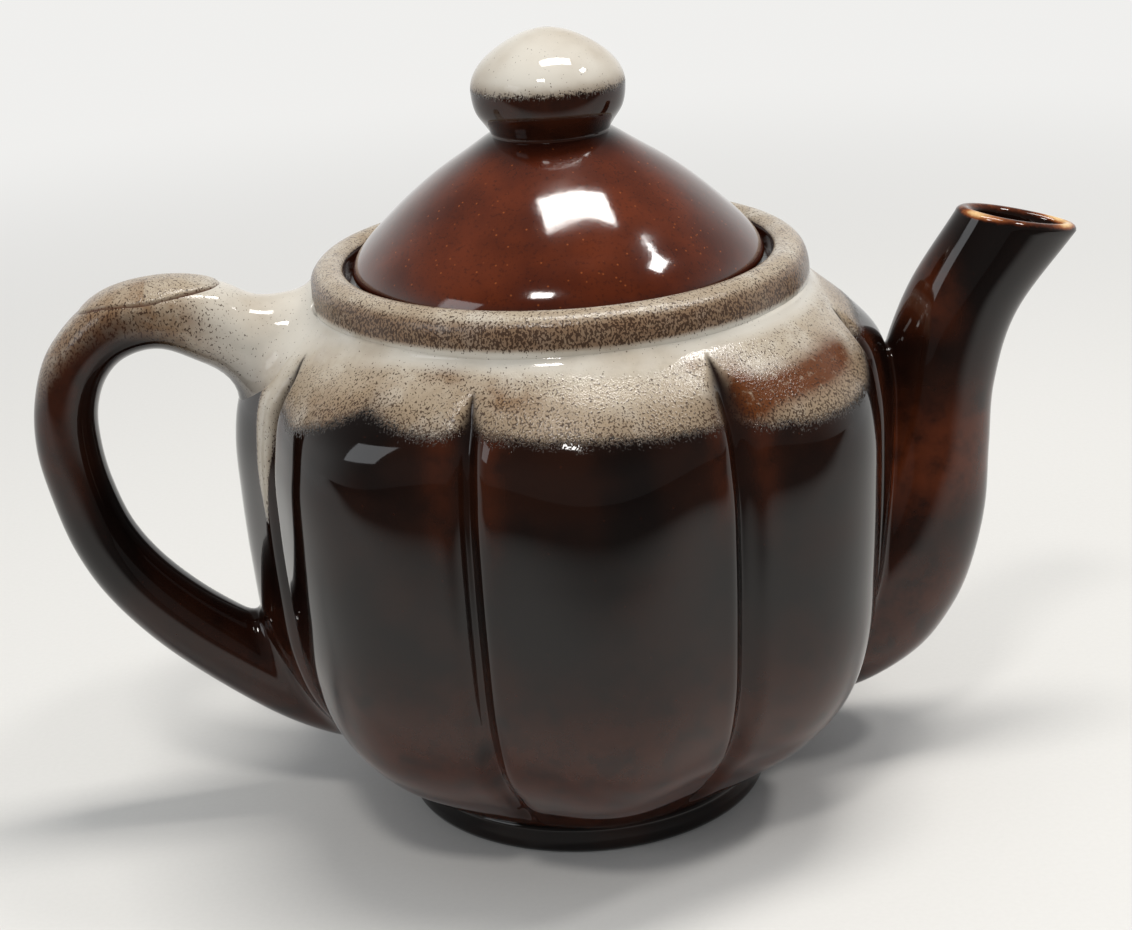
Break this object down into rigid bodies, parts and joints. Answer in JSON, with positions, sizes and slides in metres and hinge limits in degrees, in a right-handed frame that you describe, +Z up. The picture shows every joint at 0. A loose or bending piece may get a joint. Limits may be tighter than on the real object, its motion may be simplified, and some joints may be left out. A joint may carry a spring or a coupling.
{
  "type": "teapot infuser",
  "caption": "Lobed stoneware teapot with a drip glaze, a domed lid and a lift-out steel infuser basket, for brewing and pouring loose-leaf tea.",
  "frame": {"origin": "centre of the underside of the foot ring, on the pot's axis", "axes": "+Z up along the pot's axis, +X towards the spout, -X towards the handle, +Y to the left when looking along +X"},
  "size_m": [0.2324, 0.1486, 0.1721],
  "materials": {
    "glaze_body": "glossy",
    "glaze_collar": "glossy",
    "glaze_foot": "satin",
    "glaze_spout": "glossy",
    "glaze_handle": "glossy",
    "glaze_rest": "satin",
    "glaze_lid": "glossy",
    "bare_clay": "matt",
    "glaze_knob": "glossy",
    "steel": "satin",
    "steel_mesh": "satin"
  },
  "bodies": {
    "pot": {"pot_body": "glaze_body", "pot_collar": "glaze_collar", "pot_foot": "glaze_foot", "spout": "glaze_spout", "handle": "glaze_handle", "thumb_rest": "glaze_rest"},
    "infuser": {"infuser_rim": "steel", "infuser_wall": "steel_mesh", "infuser_band": "steel", "infuser_base": "steel_mesh", "infuser_ears": "steel"},
    "bail": {"infuser_bail": "steel"},
    "lid": {"lid_dome": "glaze_lid", "lid_skirt": "bare_clay", "lid_knob": "glaze_knob"}
  },
  "joints": [
    {"name": "infuser_lift", "type": "slide", "parent": "pot", "child": "infuser", "axis": [0, 0, 1], "range_m": [0, 0.09]},
    {"name": "bail_swing", "type": "hinge", "parent": "infuser", "child": "bail", "pos_m": [0, 0, 0.1075], "axis": [0, 1, 0], "range_deg": [-180, 180]},
    {"name": "lid_lift", "type": "slide", "parent": "infuser", "child": "lid", "axis": [0, 0, 1], "range_m": [0, 0.06]}
  ]
}
